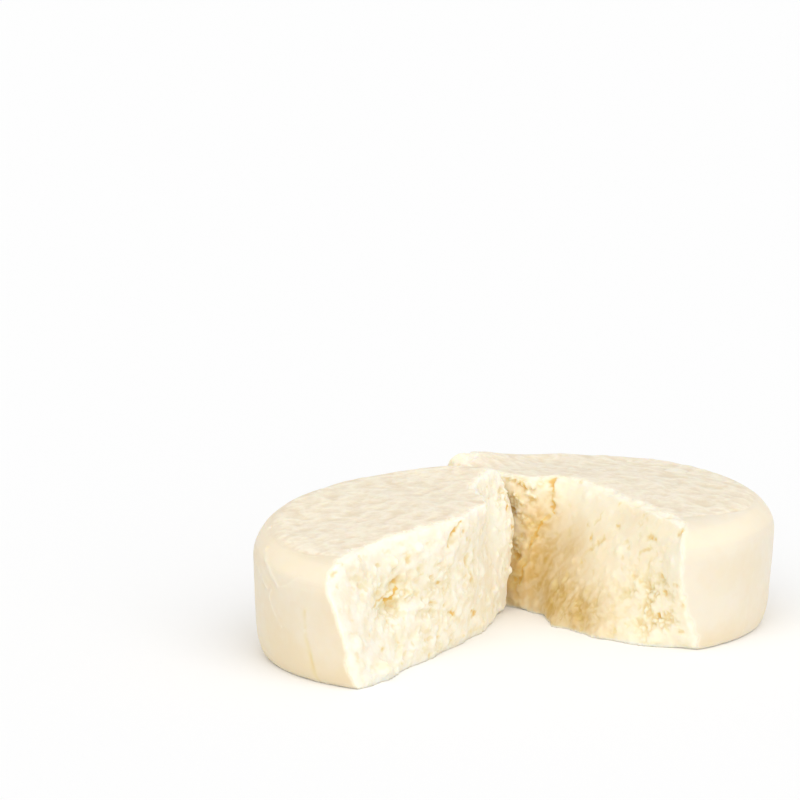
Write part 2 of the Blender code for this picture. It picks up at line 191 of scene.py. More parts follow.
rightHalf = {
    "name": "rightCheeseHalf",
    "node": "right_half",
    "centre": (20.51 * mm, 16.34 * mm),
    "heading": 134,
    "side": -1.0,
    "grows": (0.045, 0),
    "swell": (30 * mm, 2.0 * mm),
    "waveSeed": 11.3,
    "seed": 58,
    "lifts": ((41, 6, 7, 9, 1.7), (43, 13, 4.5, 5, 2.6), (34, -13, 6, 6, -1)),
    "shifts": (),
    "voxel": 0.395 * mm,
    "lumps": 600,
    "crumbs": 2400,
    "footLumps": 45,
    "rough": 0.24,
    "roughSpots": (
        (-34, 11, 10, 1.15), (-20, 5, 10, 0.45), (-5, 5, 11, 0.35), (24.5, 22, 9, 1.2), (20, 33, 7, 1.05),
        (38, 20, 14, 0.8), (-12, 29, 12, -0.1), (2, 30, 8, -0.1), (-42, 27, 6, -0.2), (22, 6, 6, 0.5),
    ),
    "knobs": (
        (16.2, 8.8, 35.4, 1), (17.4, 9.6, 34.4, 1.1), (15.4, 8.2, 34, 0.9), (18.6, 10.2, 35.6, 0.9),
        (17, 9.2, 32.4, 1.1), (15.6, 7.8, 31.4, 1), (19.6, 10.8, 31.6, 1.2), (18.2, 9.8, 29.8, 1.1),
        (43, 13, 36.2, 2), (40.6, 9.6, 37.4, 1.7), (39.6, 13.6, 36.6, 2.1), (43.8, 9, 35.6, 1.8),
        (37.6, 12.4, 37.2, 1.5), (45.2, 11.6, 34, 1.6),
    ),
    "pits": (
        (4.4, 8.6, 1.5, 1.7, 1.1, 0.4), (3.5, 4.9, 2.4, 1, 0.8, 0.5), (0.6, 11.8, 1.3, 1.7, 0.8, 0.35),
        (-11, 10.4, 1.5, 1, 0.8, 0.4), (-8.5, 7.5, 1.3, 0.7, 0.7, 0.5), (-10.2, 3.8, 1.3, 0.9, 0.8, 0.5),
        (-14.8, 8.4, 1.3, 0.9, 0.7, 0.5), (-2.6, 25.8, 0.9, 0.6, 0.6, 0.5),
        (-15.2, 27.6, 1.2, 1.2, 0.9, 0.65), (-24, 30.4, 1, 0.7, 0.6, 0.35),
        (-20.5, 32.1, 1.1, 0.4, 0.4, 0.3), (-24.8, 32.2, 0.8, 0.7, 0.6, 0.5),
        (-30.2, 27.4, 2, 1.1, 0.9, 0.7), (-32.4, 27.6, 0.9, 0.7, 0.7, 0.65),
        (-41.8, 31, 1.4, 2.1, 1.4, 0.7), (-26.8, 17, 1.4, 0.7, 0.9, 0.5), (-36.3, 18.3, 2.4, 1, 1.2, 0.6),
        (-31.4, 15.2, 2.1, 0.9, 1, 0.5), (-24.2, 12.9, 1.5, 1.3, 1.2, 0.5),
        (-38.2, 14.5, 1.3, 1.9, 1.3, 0.7), (-43.2, 18.1, 1.5, 0.6, 0.7, 0.5),
        (-45, 12.8, 1.4, 1.3, 1.1, 0.6), (-36.1, 8.3, 1.4, 1, 1.2, 0.8), (-39.1, 8.1, 1.3, 0.7, 0.9, 0.6),
        (-26.3, 4.9, 1, 0.9, 0.7, 0.5), (-41.7, 4.8, 1, 0.9, 0.8, 0.6), (-29.7, 3.2, 1, 0.8, 0.6, 0.3),
        (-23.5, 2.6, 0.7, 0.9, 0.5, 0.5), (-29.1, 9.4, 0.6, 1, 0.5, 0.4), (-20.9, 8.7, 1, 0.7, 0.6, 0.4),
        (-5.6, 23, 0.9, 1.4, 0.8, 0.7), (-17.5, 12.5, 1.3, 0.8, 0.5, 0.3),
        (-33.5, 11.8, 1.2, 0.8, 0.9, 0.5), (17.8, 33.7, 1.1, 1.8, 1.6, 0.9),
        (15.5, 23.5, 1.4, 0.8, 1.2, 0.6), (21.3, 36.4, 1, 0.6, 0.8, 0.6), (22, 27, 1.1, 1.5, 1.5, 0.8),
        (24, 18, 1.3, 1.6, 1.6, 0.9), (20.5, 14, 1, 1.5, 1.5, 0.9), (19, 20, 1, 1.2, 1.2, 0.7),
        (18.2, 28.5, 0.8, 1, 1, 0.6), (20.4, 7.5, 1.2, 1.4, 1.2, 0.9), (41.6, 36.5, 0.8, 1.4, 0.9, 0.5),
        (38.6, 36.8, 0.7, 1.2, 0.8, 0.45),
    ),
    "smallPits": 170,
    "cracks": (
        (((-3.5, 16), (-3.1, 18.4), (-5.9, 20.5), (-10.3, 23.2), (-11, 24.5)), 0.5, 0.8, 0.7),
        (((-7.4, 29.8), (-5.7, 27)), 0.5, 0.5, 0.5),
        (((-26.9, 23.3), (-28.1, 24.6), (-31.8, 25.3)), 0.5, 0.6, 0.7),
        (((-31.4, 23), (-31.2, 20.7), (-29.9, 18)), 0.65, 0.6, 0.6),
        (((-27.4, 5.8), (-30.4, 5.2), (-34.1, 5.9)), 0.6, 0.7, 0.35),
        (((-39.5, 17.2), (-36, 17.6), (-33, 16), (-29.5, 16.4)), 0.5, 1, 0.6),
        (((15.4, 39), (14.2, 36), (13.2, 34), (12.6, 32.5), (12.8, 30.1), (11.6, 27)),
         0.65, 2, 1),
        (((13, 25.8), (14.2, 24.2), (15.4, 22), (16.6, 18.8), (17.4, 15.3), (18.2, 11.4), (19, 7)),
         0.6, 1.2, 1.1),
    ),
    "peels": (
        (43, 12, 6.5, 6, 0.7), (-5, 1, 3.5, 1.6, 0.45), (-21.5, 4.5, 5, 1.9, 0.5),
        (-33, 6.5, 4, 1.6, 0.45), (8, 1, 3, 1.4, 0.4),
    ),
    # painted shade, warm and saturated, in the notch and low on the broken face
    "warmShadeAreas": (
        (3, 6, 15, 12, 1), (-21, 31, 5, 3, 0.16), (-9, 24, 6, 5, 0.14), (-27, 24, 5, 5, 0.1),
        (-4, 30, 5, 4, 0.1), (-43, 20, 3, 4, 0.1), (-9, 5, 11, 8, 1), (12, 12, 9, 14, 1),
        (20, 9, 7, 14, 0.9), (15, 22.5, 5, 8, 0.9), (20, 31, 4, 6, 0.35), (5, 18, 10, 8, 0.7),
        (30, 13, 9, 12, 0.8), (-16, 6, 7, 6, 0.35),
    ),
    # pale curd such as white crumbs at the notch top, and painted light where shadow falls there
    "paleAndLitAreas": (
        (2, 33, 16, 6, 0.6), (-43, 24, 4, 9, 0.9), (-24, 24, 9, 6, 0.3), (42, 37, 6, 4, 0.6),
        (17, 34, 2.8, 3.5, 1), (22, 30, 5, 7, 0.8), (-43, 4, 4, 5, 0.5), (-36, 8, 10, 9, 0.45),
    ),
    # painted shade patches over shallow hollows
    "shadedPatches": ((-33, 15, 9, 4, 0.5), (-38, 9, 7, 4, 0.4), (-22, 13, 6, 4, 0.4)),
    # how pale this half's wall is painted: painted light, high because this wall faces the key light
    "paintedWallLight": 0.9,
    "gold": 0.75,
    "amber": (11, 18),
    "flaked": 0.42,
    "edgeWidth": 1,
    "edgeBand": ((0, 0.9), (10, 0.9), (16, 0.5), (21, 0.9), (31, 1), (40, 0.8)),
    "rim": (
        (-198, 35), (-187.5, 36.6), (-179.3, 38.5), (-172.7, 40.4), (-154.7, 42.5), (-120, 43.4),
        (-60, 43.4), (0, 42.5), (60, 42),
    ),
    "leatherTurn": -40,
    "wallMarks": (
        (((-164.8, 18.5), (-167.3, 10.8), (-166.9, 1.7)), 0.7, -0.08, 0),
        (((-158.5, 25), (-157.5, 14), (-158, 4)), 0.8, -0.06, 0),
        (((-150, 26), (-149.5, 15), (-150, 5)), 0.8, -0.06, 0),
    ),
    "wallSteps": (),
    "flakes": (
        (7.2, -31.3, 1.3, 1.6), (-0.1, -31.3, 3.2, 3.6), (-2, -39.3, 1.6, 2), (-16.9, -34.2, 1.4, 1.5),
        (16.9, -30.7, 0.9, 1), (22, -27.3, 2.4, 1.3), (-9.5, -37, 1.5, 1.2), (12.5, -15.4, 1.2, 1),
    ),
}

curdLook = {
    "firstVoxel": 0.6 * mm,
    "mostFaces": 196000,        # triangles in one half
    "plainShare": 0.16,         # of them that the plain rind keeps
    # radius, share of it that is sunk, how fussy about rough places, highest place in mm
    "lumps": ((0.9 * mm, 2.3 * mm), (0.55, 0.95), 0.0, 41.0),
    "crumbs": ((0.5 * mm, 1.1 * mm), (0.25, 0.85), 0.25, 41.0),
    "footLumps": ((0.8 * mm, 1.9 * mm), (0.25, 0.65), -1.0, 3.5),
    "stretch": (0.7, 1.3),
    "leastRadius": 0.4 * mm,
    "roundRadius": 1.1 * mm,    # a lump above it gets a finer ball
    "clumping": (7, 0.4),       # size in mm and strength of patches with more and fewer lumps
    "clear": 0.45 * mm,         # kept free between the halves
    "flattenRounds": 150,
    "relaxRounds": 5,
    "edgeRounds": 110,
    "wearRounds": 24,
    "wear": 0.3,                # how far the sharp edge crumbles back to a round one
    # size and height
    "swell": (6 * mm, 0.2 * mm),
    "fused": (1.7 * mm, 0.1 * mm),
    "grain": (0.9 * mm, 0.07 * mm),
    "bend": (1.2 * mm, 0.5 * mm),   # of the crevices
    "creviceDepth": 0.38 * mm,
    # how strongly painted shade fills the crevices between lumps
    "creviceShade": 0.6,
    "deepest": 14,              # mm behind the break where curd can still show
}

pitLook = {
    "warps": ((2.4, 0.6, 3.0, 9.0), (1.0, 0.7, 5.0, 7.0)),   # size, distance, seeds
    "pitShare": 0.6,            # of the depth in the tables that is cut
    "crackShare": 0.75,
    "stainShift": (0.2, 0.3),   # a stain sits off the pit's middle
    "pitStain": (0.35, 1.15),   # where a stain fades
    "crackStain": (0.4, 1.5),
    "small": ((0.5, 1.1), (0.4, 0.9), (0.3, 0.8)),  # reach along, reach up, depth
}

rindLook = {
    "skin": 0.2 * mm,           # a point this near the wheel's own surface is rind
    "proud": 0.4 * mm,          # crumbs that stand this far above it aren't
    "swell": (9 * mm, 0.14 * mm),
    "ripple": (3.4 * mm, 0.04 * mm),
    "rimWave": 0.5,
    # size, height in mm, share that is ridged
    "leather": ((5.2 * mm, 0.2, 0.8), (2.7 * mm, 0.16, 0.5), (1.4 * mm, 0.08, 0.2)),
    "leatherStretch": 1.3,
    "leatherDrift": (8 * mm, 1.6 * mm),
    "gutter": (0.3, 0.5, 0.25),     # way inside the rim, width, depth
    "flakeHeight": 0.16,
    "creases": 9,
    "creaseAngles": (-118, -20),
    "creaseHeights": (4, 24),
}


def smoothStep(low, high, value):
    share = np.clip((value - low) / (high - low), 0.0, 1.0)
    return share * share * (3.0 - 2.0 * share)


def noiseAt(places, size, shift=0.0):
    # Perlin noise, about -1 to 1, read at each place
    scaled = places / size + shift
    return np.array([noise.noise(place) for place in scaled.tolist()])


def cellsAt(places, size, shift=0.0):
    # Distance to the nearest cell's middle and to the next one's, in cells
    scaled = places / size + shift
    found = np.array([noise.voronoi(place)[0][:2] for place in scaled.tolist()])
    return found[:, 0], found[:, 1]


def turnOf(half):
    return Euler((0.0, 0.0, math.radians(half["heading"]) - math.pi / 2)).to_matrix()


def onHalf(places, half):
    # Model places as (along the break, out of it, height), in mm
    local = (places - np.array([*half["centre"], 0.0])) @ np.array(turnOf(half))
    return local[:, 1] / mm, half["side"] * local[:, 0] / mm, local[:, 2] / mm


def placeOf(along, out, height, half):
    # The way back
    local = Vector((half["side"] * out * mm, along * mm, height * mm))
    return turnOf(half) @ local + Vector((*half["centre"], 0.0))


def outOf(half):
    # The way that the broken face looks
    return turnOf(half) @ Vector((half["side"], 0.0, 0.0))


def quarterArc(centre, across, down, start, end):
    steps = wheel["arcSteps"]
    angles = [start + (end - start) * step / steps for step in range(steps + 1)]
    return [(centre[0] + across * math.cos(a), centre[1] + down * math.sin(a)) for a in angles]


def wheelProfile():
    # The wheel's section as (radius, height), from the middle of the top to the middle of the foot
    across, down = wheel["shoulder"]
    footAcross, footDown = wheel["foot"]
    flat = wheel["radius"] - across
    points = []
    for step in range(wheel["topSteps"]):
        share = step / wheel["topSteps"]
        points.append((flat * share, wheel["height"] + wheel["dome"] * (1.0 - share * share)))
    points += quarterArc((flat, wheel["height"] - down), across, down, math.pi / 2, 0.0)
    for share in (0.75, 0.5, 0.25):
        points.append((wheel["radius"], footDown + (wheel["height"] - down - footDown) * share))
    points += quarterArc((wheel["radius"] - footAcross, footDown), footAcross, footDown, 0.0, -math.pi / 2)
    points += [((wheel["radius"] - footAcross) * share, 0.0) for share in (0.75, 0.5, 0.25, 0.0)]
    return points


def pressed(point, half):
    # The wheel is thicker towards one end, leans in towards its foot and is a little wavy
    across = Vector((point.x, point.y, 0.0))
    lift = point.z / wheel["height"]
    if across.length > 0.0:
        wave = noise.noise(Vector((point.x, point.y, point.z + half["waveSeed"])) / wheel["waveSize"])
        change = wheel["waveDepth"] * wave - wheel["taper"] * (1.0 - lift)
        across += across / wheel["radius"] * change
    start, height = half["swell"]
    share = min(max((across.y - start) / (wheel["radius"] - start), 0.0), 1.0)
    grown = half["grows"][0] * across.y + half["grows"][1] * across.x
    grown += height * share * share * (3.0 - 2.0 * share)
    wave = noise.noise(Vector((point.x, point.y, half["waveSeed"])) / wheel["topWaveSize"])
    return Vector((across.x, across.y, point.z + lift * (grown + wheel["topWaveDepth"] * wave)))


def wheelGuide(half):
    # The unbroken wheel that this half comes from, to tell rind from curd
    mesh = bmesh.new()
    verts = [mesh.verts.new((radius, 0.0, height)) for radius, height in wheelProfile()]
    edges = [mesh.edges.new(pair) for pair in zip(verts, verts[1:])]
    bmesh.ops.spin(mesh, geom=verts + edges, cent=(0, 0, 0), axis=(0, 0, 1), angle=2 * math.pi,
                   steps=wheel["turnSteps"], use_merge=True)
    bmesh.ops.remove_doubles(mesh, verts=mesh.verts, dist=wheel["merge"])
    turn = turnOf(half)
    for vert in mesh.verts:
        vert.co = turn @ pressed(vert.co, half) + Vector((*half["centre"], 0.0))
    lifted = liftedTop(np.array([vert.co for vert in mesh.verts]), half)
    for vert, place in zip(mesh.verts, lifted.tolist()):
        vert.co = place
    bmesh.ops.recalc_face_normals(mesh, faces=mesh.faces)
    tree = BVHTree.FromBMesh(mesh)
    mesh.free()
    return tree


def nodeMesh(name):
    # A merged copy of a CAD node's mesh
    mesh = bmesh.new()
    mesh.from_mesh(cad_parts[name].data)
    bmesh.ops.remove_doubles(mesh, verts=mesh.verts, dist=0.001 * mm)
    return mesh


def hill(first, second, spot):
    # A soft rise: its middle, its reach both ways and its height
    middle, otherMiddle, reach, otherReach, height = spot
    return height * np.exp(-(((first - middle) / reach) ** 2 + ((second - otherMiddle) / otherReach) ** 2))


def roughnessAt(along, height, half):
    # How crumbly the broken face is at a place
    level = half["rough"]
    for spotAlong, spotHeight, reach, added in half["roughSpots"]:
        away = ((along - spotAlong) ** 2 + (height - spotHeight) ** 2) / reach ** 2
        level = level + added * np.exp(-away)
    return np.clip(level, 0.05, 1.3)


def liftedTop(places, half):
    # Local rises and dips of the top, and of the wall just under it
    along, out, height = onHalf(places, half)
    rise = sum(hill(along, out, spot) for spot in half["lifts"])
    places[:, 2] += rise * smoothStep(12.0, 32.0, height) * mm
    return places


def shiftedFace(places, half):
    # Small changes to the run of the break where it meets the wall
    along, out, height = onHalf(places, half)
    move = sum(hill(along, height, spot) for spot in half["shifts"])
    return places + np.outer(move * smoothStep(-9.0, -3.0, out) * mm, outOf(half))


def flattenedCurd(piece, half, guide):
    # The solid's broad lumps soften, so that the crumbs on them are what shows
    places = shiftedFace(liftedTop(readPlaces(piece), half), half)
    depth = underRind(places, guide)[0]
    held = smoothStep(0.1, 0.4, depth / mm)[:, None]
    links = readLinks(piece)
    for step in range(curdLook["flattenRounds"]):
        places += (relaxed(places, links, 0.6, 1) - places) * held
    writePlaces(piece, places)
    mesh = bmesh.new()
    mesh.from_mesh(piece.data)
    bpy.data.objects.remove(piece)
    return mesh


def ballShape(detail):
    # Points and faces of a ball of radius 1
    mesh = bmesh.new()
    bmesh.ops.create_icosphere(mesh, subdivisions=detail, radius=1.0)
    places = np.array([vert.co for vert in mesh.verts])
    faces = np.array([[vert.index for vert in face.verts] for face in mesh.faces])
    mesh.free()
    return places, faces


def lumpPlaces(tree, half, guide, other):
    # Where lumps of curd lie on the broken face: middle, radius and own shape
    draw = random.Random(half["seed"])
    away = outOf(half)
    upright = Matrix.Identity(3)
    clumpSize, clumping = curdLook["clumping"]
    made = [(placeOf(*place, half), radius * mm, upright) for *place, radius in half["knobs"]]
    for kind in ("lumps", "crumbs", "footLumps"):
        (smallest, largest), (shallow, deep), fussy, highest = curdLook[kind]
        enough = len(made) + half[kind]
        for attempt in range(half[kind] * 12):
            if len(made) == enough:
                break
            along = draw.uniform(-48, 48)
            height = draw.uniform(0.3, highest)
            chance, size, sink = draw.random(), draw.random(), draw.uniform(shallow, deep)
            turn = Euler([draw.uniform(0, 6.28) for axis in range(3)]).to_matrix()
            shape = Matrix.Diagonal([draw.uniform(*curdLook["stretch"]) for axis in range(3)])
            level = roughnessAt(along, height, half)
            chance -= clumping * noise.noise(Vector((along, height, half["seed"])) / clumpSize)
            if chance > level - fussy:
                continue
            start = placeOf(along, 40, height, half)
            hit, normal = tree.ray_cast(start, -away, 70 * mm)[:2]
            if hit is None:
                continue
            under = (guide.find_nearest(hit)[0] - hit).length
            radius = (smallest + (largest - smallest) * size ** 2.0) * (1.25 - 0.45 * level)
            radius = min(radius, 0.8 * under + 0.15 * mm)     # a lump doesn't break through the rind
            if radius < curdLook["leastRadius"]:
                continue
            middle = hit - normal * radius * (sink - 0.28 * (level - 0.6))
            if other.find_nearest(middle)[3] < 1.3 * radius + curdLook["clear"]:
                continue
            made.append((middle, radius, turn @ shape))
    return made


def addLumps(mesh, half, guide, other):
    # Lumps of curd, mostly sunk into the broken face, and crumbs where it is rough
    made = lumpPlaces(BVHTree.FromBMesh(mesh), half, guide, other)
    balls = {detail: ballShape(detail) for detail in (1, 2)}
    points, corners, count = [], [], 0
    for middle, radius, shape in made:
        places, faces = balls[2 if radius > curdLook["roundRadius"] else 1]
        points.append(places @ np.array(shape).T * radius + np.array(middle))
        corners.append(faces + count)
        count += len(places)
    data = bpy.data.meshes.new("lumps")
    data.from_pydata(np.concatenate(points).tolist(), [], np.concatenate(corners).tolist())
    mesh.from_mesh(data)
    bpy.data.meshes.remove(data)
    print(half["name"], "lumps of curd:", len(made))


def newPiece(name, mesh):
    data = bpy.data.meshes.new(name)
    mesh.to_mesh(data)
    mesh.free()
    piece = bpy.data.objects.new(name, data)
    bpy.context.collection.objects.link(piece)
    return piece


def applyModifiers(piece):
    bpy.context.view_layer.update()
    graph = bpy.context.evaluated_depsgraph_get()
    shaped = bpy.data.meshes.new_from_object(piece.evaluated_get(graph))
    piece.modifiers.clear()
    old = piece.data
    piece.data = shaped
    bpy.data.meshes.remove(old)


def fuse(piece, voxel):
    # Everything that overlaps becomes one even skin
    remesh = piece.modifiers.new("fuse", "REMESH")
    remesh.mode = "VOXEL"
    remesh.voxel_size = voxel
    applyModifiers(piece)


def thinPlainRind(piece, half):
    # The underside and the far wall need fewer faces than the break and the top
    upward = readNormals(piece)[:, 2]
    along, out, height = onHalf(readPlaces(piece), half)
    farWall = (out < -4.0) & (upward < 0.75) & (along > -30.0)
    plain = farWall | (upward < -0.9) & (height < 0.5)
    group = piece.vertex_groups.new(name="plain")
    group.add(np.nonzero(plain)[0].tolist(), 1.0, "REPLACE")
    thin = piece.modifiers.new("thin", "DECIMATE")
    thin.vertex_group = "plain"
    thin.ratio = 1.0 - (1.0 - curdLook["plainShare"]) * np.count_nonzero(plain) / len(plain)
    applyModifiers(piece)
    piece.vertex_groups.clear()
    faces = sum(len(face.vertices) - 2 for face in piece.data.polygons)
    print(half["name"], "faces after thinning the plain rind:", faces)
    if faces > curdLook["mostFaces"]:
        evenly = piece.modifiers.new("evenly", "DECIMATE")
        evenly.ratio = curdLook["mostFaces"] / faces
        applyModifiers(piece)


def readRows(rows, name, wide, kind=float):
    values = np.empty(len(rows) * wide, dtype=kind)
    rows.foreach_get(name, values)
    return values.reshape(-1, wide)


def readPlaces(piece):
    return readRows(piece.data.vertices, "co", 3)


def readNormals(piece):
    return readRows(piece.data.vertex_normals, "vector", 3)


def readLinks(piece):
    return readRows(piece.data.edges, "vertices", 2, np.int64)


def writePlaces(piece, places):
    places[:, 2] = np.maximum(places[:, 2], 0.0)
    piece.data.vertices.foreach_set("co", places.ravel())
    piece.data.update()


def relaxed(values, links, share, rounds):
    # Each point's value moves part of the way to the mean of its neighbours'
    size = len(values)
    count = np.bincount(links.ravel(), minlength=size)[:, None]
    held = values.copy()
    for step in range(rounds):
        columns = []
        for axis in range(held.shape[1]):
            column = held[:, axis]
            total = np.bincount(links[:, 0], weights=column[links[:, 1]], minlength=size)
            total += np.bincount(links[:, 1], weights=column[links[:, 0]], minlength=size)
            columns.append(total)
        held += share * (np.stack(columns, axis=1) / count - held)
    return held


def softened(line, rounds=2):
    # A line of a few points with its corners cut
    for step in range(rounds):
        cut = [line[0]]
        for (x0, y0), (x1, y1) in zip(line, line[1:]):
            cut.append((0.75 * x0 + 0.25 * x1, 0.75 * y0 + 0.25 * y1))
            cut.append((0.25 * x0 + 0.75 * x1, 0.25 * y0 + 0.75 * y1))
        line = cut + [line[-1]]
    return line


def lineDistance(first, second, line):
    # Distance from points on a plane to a line of several stretches
    nearest = np.full(len(first), np.inf)
    line = softened(line)
    for (x0, y0), (x1, y1) in zip(line, line[1:]):
        spanX, spanY = x1 - x0, y1 - y0
        share = ((first - x0) * spanX + (second - y0) * spanY) / (spanX ** 2 + spanY ** 2 + 1e-9)
        share = np.clip(share, 0.0, 1.0)
        nearest = np.minimum(nearest, np.hypot(first - x0 - share * spanX, second - y0 - share * spanY))
    return nearest


def underRind(places, guide):
    # Depth below the wheel's own surface, with the nearest place and direction there
    depth = np.empty(len(places))
    nearest = np.empty_like(places)
    facing = np.empty_like(places)
    for index, place in enumerate(places.tolist()):
        spot, normal, face, span = guide.find_nearest(place)
        nearest[index] = spot
        facing[index] = normal
        depth[index] = (spot - Vector(place)).dot(normal)
    return np.where(depth < -rindLook["proud"], -2.0 * depth, depth), nearest, facing


def allPits(half):
    # The pits that are listed, and small ones strewn where the face is rough
    draw = random.Random(half["seed"] + 1)
    pits = list(half["pits"])
    while len(pits) < len(half["pits"]) + half["smallPits"]:
        along, height, chance = draw.uniform(-46, 46), draw.uniform(1, 38), draw.random()
        across, up, down = (draw.uniform(*sizes) for sizes in pitLook["small"])
        if chance < roughnessAt(along, height, half):
            pits.append((along, height, across, up, down, 0.7 * down))
    return pits


def pitsAndCracks(places, half):
    # How deep the curd is cut at each place, and how stained it is there
    along, out, height = onHalf(places, half)
    flat = np.stack([along, np.zeros(len(places)), height], axis=1)
    warpAlong, warpHeight = along, height
    for size, far, seedAlong, seedHeight in pitLook["warps"]:
        warpAlong = warpAlong + far * noiseAt(flat, size, seedAlong)
        warpHeight = warpHeight + far * noiseAt(flat, size, seedHeight)
    shiftAlong, shiftHeight = pitLook["stainShift"]
    sunk = np.zeros(len(places))
    stainAndShade = np.zeros(len(places))
    for pitAlong, pitHeight, reachAlong, reachUp, down, brown in allPits(half):
        close = np.nonzero(np.abs(along - pitAlong) < 3.0 * reachAlong + 1.0)[0]
        across = (warpAlong[close] - pitAlong) / reachAlong
        up = (warpHeight[close] - pitHeight) / reachUp
        sunk[close] += pitLook["pitShare"] * down * np.exp(-np.hypot(across, up) ** 3)
        away = np.hypot(across - shiftAlong, up - shiftHeight)
        stainAndShade[close] = np.maximum(stainAndShade[close], brown * (1.0 - smoothStep(*pitLook["pitStain"], away)))
    stainAndShade *= np.clip(1.15 + 0.7 * noiseAt(flat, 1.3, 19.0), 0.6, 1.4)
    patchy = np.clip(0.85 + 0.9 * noiseAt(flat, 2.8, 15.0), 0.3, 1.0)
    for line, width, down, brown in half["cracks"]:
        away = lineDistance(warpAlong, warpHeight, line) / width
        sunk += pitLook["crackShare"] * down * patchy * np.exp(-away ** 2)
        stainAndShade = np.maximum(stainAndShade, brown * patchy * (1.0 - smoothStep(*pitLook["crackStain"], away)))
    return sunk, stainAndShade


def carve(piece, half, guide):
    # Pits and cracks go into the curd, and rind is gone in places along it
    places = readPlaces(piece)
    links = readLinks(piece)
    depth, nearest, facing = underRind(places, guide)
    along, out, height = onHalf(places, half)
    onCurd = smoothStep(0.1, 0.6, depth / mm) * (out > -curdLook["deepest"])
    places -= np.outer(pitsAndCracks(places, half)[0] * onCurd * mm, outOf(half))
    crumb = noiseAt(places, 2.4 * mm, 5.0)
    for peelAlong, peelOut, reachAlong, reachOut, down in half["peels"]:
        away = np.hypot((along - peelAlong) / reachAlong, (out - peelOut) / reachOut) + 0.3 * crumb
        gone = (1.0 - smoothStep(0.85, 1.1, away)) * (height > 24)
        places -= facing * (gone * down * (1.0 + 0.6 * crumb) * mm)[:, None]

    # The rind's edge flakes off beside the curd, more on the top than on the wall
    bridge = relaxed(smoothStep(0.1, 0.5, depth / mm)[:, None], links, 0.6, curdLook["edgeRounds"])[:, 0]
    onTop = smoothStep(0.5, 0.9, facing[:, 2])
    loose = bridge + 0.26 * crumb + 0.14 * noiseAt(places, 1.1 * mm, 7.0) + 0.14 * onTop - 0.04
    gone = smoothStep(0.3, 0.4, loose) * (depth < 0.3 * mm) * smoothStep(0.5, 2.0, height)
    places -= facing * (gone * half["flaked"] * (1.0 + 0.5 * crumb) * mm)[:, None]
    writePlaces(piece, places)

    # Sharp edges crumble
    places = readPlaces(piece)
    rounded = relaxed(places, links, 0.6, curdLook["wearRounds"])
    sharp = np.sum((places - rounded) * readNormals(piece), axis=1) / mm
    worn = smoothStep(0.1, 0.35, sharp) * smoothStep(0.03, 0.25, bridge) * (depth < 1.6 * mm)
    worn *= np.clip(0.5 + 1.2 * noiseAt(places, 2.6 * mm, 21.0), 0.0, 1.0) * curdLook["wear"]
    worn *= smoothStep(0.5, 2.5, height)
    writePlaces(piece, places + (rounded - places) * worn[:, None])


def detailCurd(piece, half, depth):
    # Soft swells, fused lumps with patchy crevices between them, and grains; returns the painted shade for
    # the crevices
    places = readPlaces(piece)
    normals = readNormals(piece)
    along, out, height = onHalf(places, half)
    level = roughnessAt(along, height, half)
    curd = smoothStep(0.15, 0.7, depth / mm)
    chosen = np.nonzero(curd > 0.0)[0]
    spots = places[chosen]
    swell, grain = (noiseAt(spots, curdLook[kind][0], half["seed"]) * curdLook[kind][1]
                    for kind in ("swell", "grain"))
    bendSize, bendFar = curdLook["bend"]
    lumpSize, lumpHeight = curdLook["fused"]
    bent = np.stack([noiseAt(spots, bendSize, shift) for shift in (41.0, 43.0, 47.0)], axis=1)
    first, second = cellsAt(spots + bent * bendFar, lumpSize, half["seed"])
    lump = (0.5 - first) * lumpHeight
    patchy = smoothStep(-0.1, 0.45, noiseAt(spots, 3.4 * mm, 33.0) + 0.5 * (level[chosen] - 0.7))
    gap = (1.0 - smoothStep(0.05, 0.45, second - first)) * patchy
    move = swell + lump * (0.1 + 1.1 * level[chosen]) + grain * (0.3 + 1.0 * level[chosen])
    move -= gap * level[chosen] * curdLook["creviceDepth"]
    places[chosen] += normals[chosen] * (move * curd[chosen])[:, None]
    writePlaces(piece, places)
    # painted shade in the crevices between lumps
    crevices = np.zeros(len(places))
    crevices[chosen] = gap * curd[chosen] * np.minimum(curdLook["creviceShade"] * level[chosen] ** 2, 0.75)
    return crevices * (out > -curdLook["deepest"])


def faintCreases(half):
    # Soft dents of the rind that run up and down the wall, away from the listed marks
    draw = random.Random(half["seed"] + 2)
    creases = []
    for crease in range(rindLook["creases"]):
        angle, height = draw.uniform(*rindLook["creaseAngles"]), draw.uniform(*rindLook["creaseHeights"])
        line = [(angle, height)]
        for step in range(3):
            angle += draw.uniform(-2.5, 2.5)
            height += draw.uniform(-1.0, 4.0)
            line.append((angle, height))
        creases.append((tuple(line), draw.uniform(0.6, 1.2), draw.uniform(-0.12, 0.1), 0.0))
    return tuple(creases)


